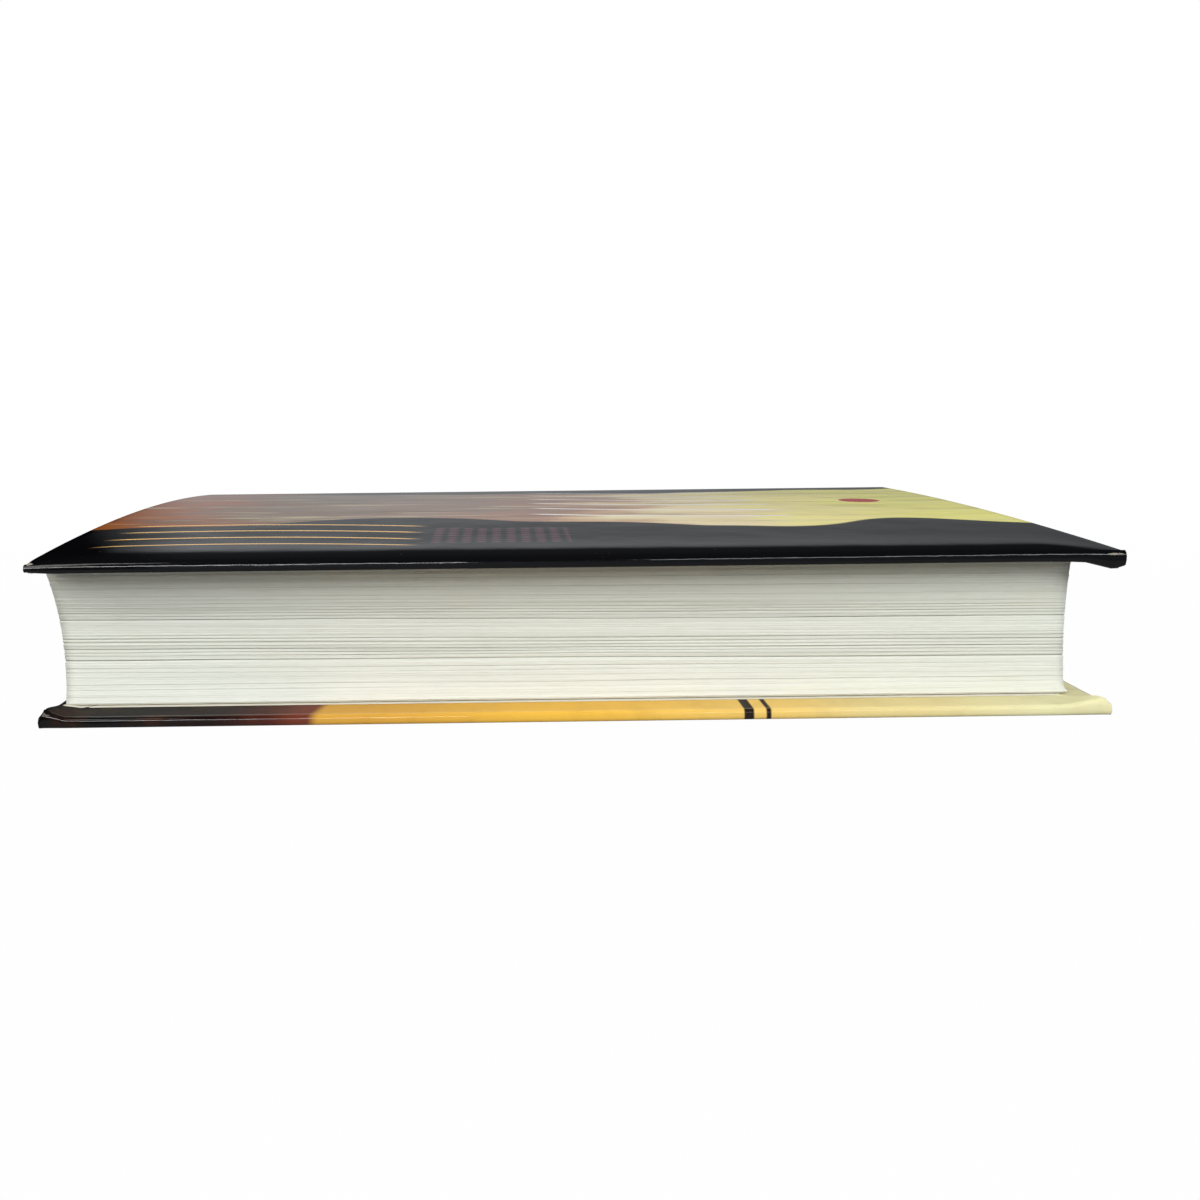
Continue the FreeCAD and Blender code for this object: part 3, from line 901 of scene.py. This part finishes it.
camera = {
    "place": (-14.30, -300.86, 67.34),
    "pitch": 11.323,
    "yaw": 0.466,
    "roll": 0.610,
    "focal": 1130.9,  # in pixels of the photograph, as the next two
    "centre": (514.25, 611.37),
    "frame": 1200,
}
studio = {
    "sky": "#eef3f8",
    "skyLight": (0.04, 0.3),  # at the horizon and high up
    "inReflections": (0.24, 0.03),  # how bright the room is in the film's reflections, low and high up
    "reflectionBand": (0.12, 0.36),  # the sine of the height between them
    "darkSide": (-0.35, -0.25),  # the room is dark to the left of this direction
    "fall": ((-0.35, 1.55), (0.45, 0.55)),  # and fades from left to right: direction and brightness
    "floor": "#6e6e6d",
    "floorWhite": 0.99,
    "shadowReach": (0.15, 0.4),  # metres from the book's middle over which the floor turns fully white
    # the two largest are kept out of the film's reflections, as by a polarising filter
    "lamps": [
        {"name": "overhead softbox", "at": (0, 40, 650), "towards": (0, 0, 0),
         "size": (600, 600), "power": 3.4, "tint": "#ffffff", "mirrored": False},
        {"name": "window on the right", "at": (420, -1040, 690), "towards": (0, -60, 20),
         "size": (520, 580), "power": 12.0, "tint": "#f6faff", "mirrored": False},
        {"name": "narrow window on the right", "at": (450, -1000, 420), "towards": (0, -60, 20),
         "size": (640, 60), "power": 0.9, "tint": "#f6faff", "mirrored": True},
        {"name": "narrow window on the left", "at": (-330, -1000, 290), "towards": (0, -60, 20),
         "size": (560, 45), "power": 1.2, "tint": "#ffffff", "mirrored": True},
        {"name": "pale wall on the left", "at": (-760, -760, 600), "towards": (-40, -60, 10),
         "size": (700, 600), "power": 4.4, "tint": "#fffdf8", "mirrored": True},
    ],
}


def makeCamera():
    pitch, yaw, roll = (math.radians(camera[k]) for k in ("pitch", "yaw", "roll"))
    forward = Vector((math.sin(yaw) * math.cos(pitch), math.cos(yaw) * math.cos(pitch), -math.sin(pitch)))
    level = Vector((math.cos(yaw), -math.sin(yaw), 0))
    down = forward.cross(level)
    right = level * math.cos(roll) + down * math.sin(roll)
    below = down * math.cos(roll) - level * math.sin(roll)
    lens = bpy.data.cameras.new("camera")
    size = camera["frame"]
    lens.lens = lens.sensor_width * camera["focal"] / size
    lens.shift_x = 0.5 - camera["centre"][0] / size
    lens.shift_y = camera["centre"][1] / size - 0.5
    lens.clip_start = 0.01
    view = bpy.data.objects.new("camera", lens)
    turned = Matrix((right, -below, -forward)).transposed().to_4x4()
    view.matrix_world = Matrix.Translation(Vector(camera["place"]) / 1000) @ turned
    bpy.context.scene.collection.objects.link(view)
    bpy.context.scene.camera = view


def rayKinds(tree):
    # 1 for what the camera sees, straight or through glass, and 1 for what a reflection sees
    path = add(tree, "LightPath")
    seen = add(tree, "Math", {0: path["Is Camera Ray"], 1: path["Is Transmission Ray"]},
               operation="MAXIMUM")[0]
    return seen, path["Is Glossy Ray"]


def makeFloor():
    # white where the camera sees it, apart from the book's soft shadow
    material, tree = newMaterial("painted floor, pale")
    seen, mirrored = rayKinds(tree)
    matt = add(tree, "BsdfDiffuse", {"Color": studio["floor"]})[0]
    white = add(tree, "Emission", {"Color": "#ffffff", "Strength": 1.0})[0]
    dim = add(tree, "Emission", {"Color": "#ffffff", "Strength": studio["inReflections"][0]})[0]
    place = add(tree, "TexCoord")["Object"]
    away = add(tree, "VectorMath", {0: place}, operation="LENGTH")["Value"]
    low, high = studio["shadowReach"]
    share = add(tree, "MapRange", {0: away, 1: low, 2: high, 3: studio["floorWhite"], 4: 1.0})[0]
    share = add(tree, "Math", {0: seen, 1: share}, operation="MULTIPLY")[0]
    surface = add(tree, "MixShader", {0: share, 1: matt, 2: white})[0]
    surface = add(tree, "MixShader", {0: mirrored, 1: surface, 2: dim})[0]
    add(tree, "OutputMaterial", {"Surface": surface})
    shape = bmesh.new()
    bmesh.ops.create_circle(shape, cap_ends=True, segments=64, radius=1.6)
    mesh = bpy.data.meshes.new("floor")
    shape.to_mesh(mesh)
    shape.free()
    mesh.materials.append(material)
    floor = bpy.data.objects.new("floor", mesh)
    bpy.context.scene.collection.objects.link(floor)


def makeLight():
    world = bpy.data.worlds.new("studio")
    world.use_nodes = True
    tree = world.node_tree
    tree.nodes.clear()
    seen, mirrored = rayKinds(tree)
    across, _, height = add(tree, "SeparateXYZ", {0: add(tree, "TexCoord")["Generated"]})
    low, high = studio["skyLight"]
    strength = add(tree, "MapRange", {0: height, 1: 0.0, 2: 0.7, 3: low, 4: high})[0]
    sky = add(tree, "Background", {"Color": studio["sky"], "Strength": strength})[0]
    low, high = studio["reflectionBand"]
    bright, dark = studio["inReflections"]
    room = add(tree, "MapRange", {0: height, 1: low, 2: high, 3: bright, 4: dark},
               interpolation_type="SMOOTHSTEP")[0]
    low, high = studio["darkSide"]
    beside = add(tree, "MapRange", {0: across, 1: low, 2: high}, interpolation_type="SMOOTHSTEP")[0]
    (low, bright), (high, dark) = studio["fall"]
    fall = add(tree, "MapRange", {0: across, 1: low, 2: high, 3: bright, 4: dark})[0]
    room = add(tree, "Math", {0: room, 1: beside}, operation="MULTIPLY")[0]
    room = add(tree, "Math", {0: room, 1: fall}, operation="MULTIPLY")[0]
    dim = add(tree, "Background", {"Color": studio["sky"], "Strength": room})[0]
    white = add(tree, "Background", {"Color": "#ffffff", "Strength": 1.0})[0]
    surface = add(tree, "MixShader", {0: mirrored, 1: sky, 2: dim})[0]
    surface = add(tree, "MixShader", {0: seen, 1: surface, 2: white})[0]
    add(tree, "OutputWorld", {"Surface": surface})
    bpy.context.scene.world = world
    for lamp in studio["lamps"]:
        data = bpy.data.lights.new(lamp["name"], "AREA")
        data.shape = "RECTANGLE"
        data.size, data.size_y = (side / 1000 for side in lamp["size"])
        data.energy = lamp["power"]
        data.color = colour(lamp["tint"])[:3]
        light = bpy.data.objects.new(lamp["name"], data)
        light.location = Vector(lamp["at"]) / 1000
        aim = Vector(lamp["towards"]) / 1000 - light.location
        light.rotation_euler = aim.to_track_quat("-Z", "Y").to_euler()
        light.visible_glossy = lamp["mirrored"]
        bpy.context.scene.collection.objects.link(light)


bpy.context.scene.view_settings.view_transform = "Standard"
makeCamera()
makeFloor()
makeLight()
print("the camera, floor and lamps are ready")

frontPaper = laminatedPaper("laminated paper, front cover", frontDesign, laminate["rubbedFront"])
backPaper = laminatedPaper("laminated paper, back cover", backDesign, laminate["rubbedBack"])
spinePaper = laminatedPaper("laminated paper, spine", spineDesign, [])
endPaper = plainPaper("uncoated endpaper", "#d4cfbe", "#c6c1ae", 0.9)
print("the papers are ready")

coverSheet("frontCoverSheet", frontPlace, frontPaper, "front_cover_wrap", 31.4)
coverSheet("backCoverSheet", backPlace, backPaper, "back_cover_wrap", 2.3)
spineSheet(spinePaper)
print("the case is ready")

pageBlock(pageEdges())
print("the pages are ready")

endpaperSheet("frontEndpaper", True, "front_pastedown", endPaper)
endpaperSheet("backEndpaper", False, "back_pastedown", endPaper)
thread = headbandThread()
headbandPiece("tailHeadband", pages["tail"], 1, "tail_band", thread)
headbandPiece("headHeadband", pages["head"], -1, "head_band", thread)
print("the endpapers and headbands are ready")

for node in ("front_flyleaf", "back_flyleaf"):
    finishNode(node, endPaper)
board = pressedGreyboard()
for node in ("front_board", "back_board", "spine_inlay"):
    finishNode(node, board)
finishNode("mull", stiffenedMull())
finishNode("spine_lining", plainPaper("kraft lining paper", "#a98a62", "#8f7048", 2.0))
print("the hidden layers are finished")
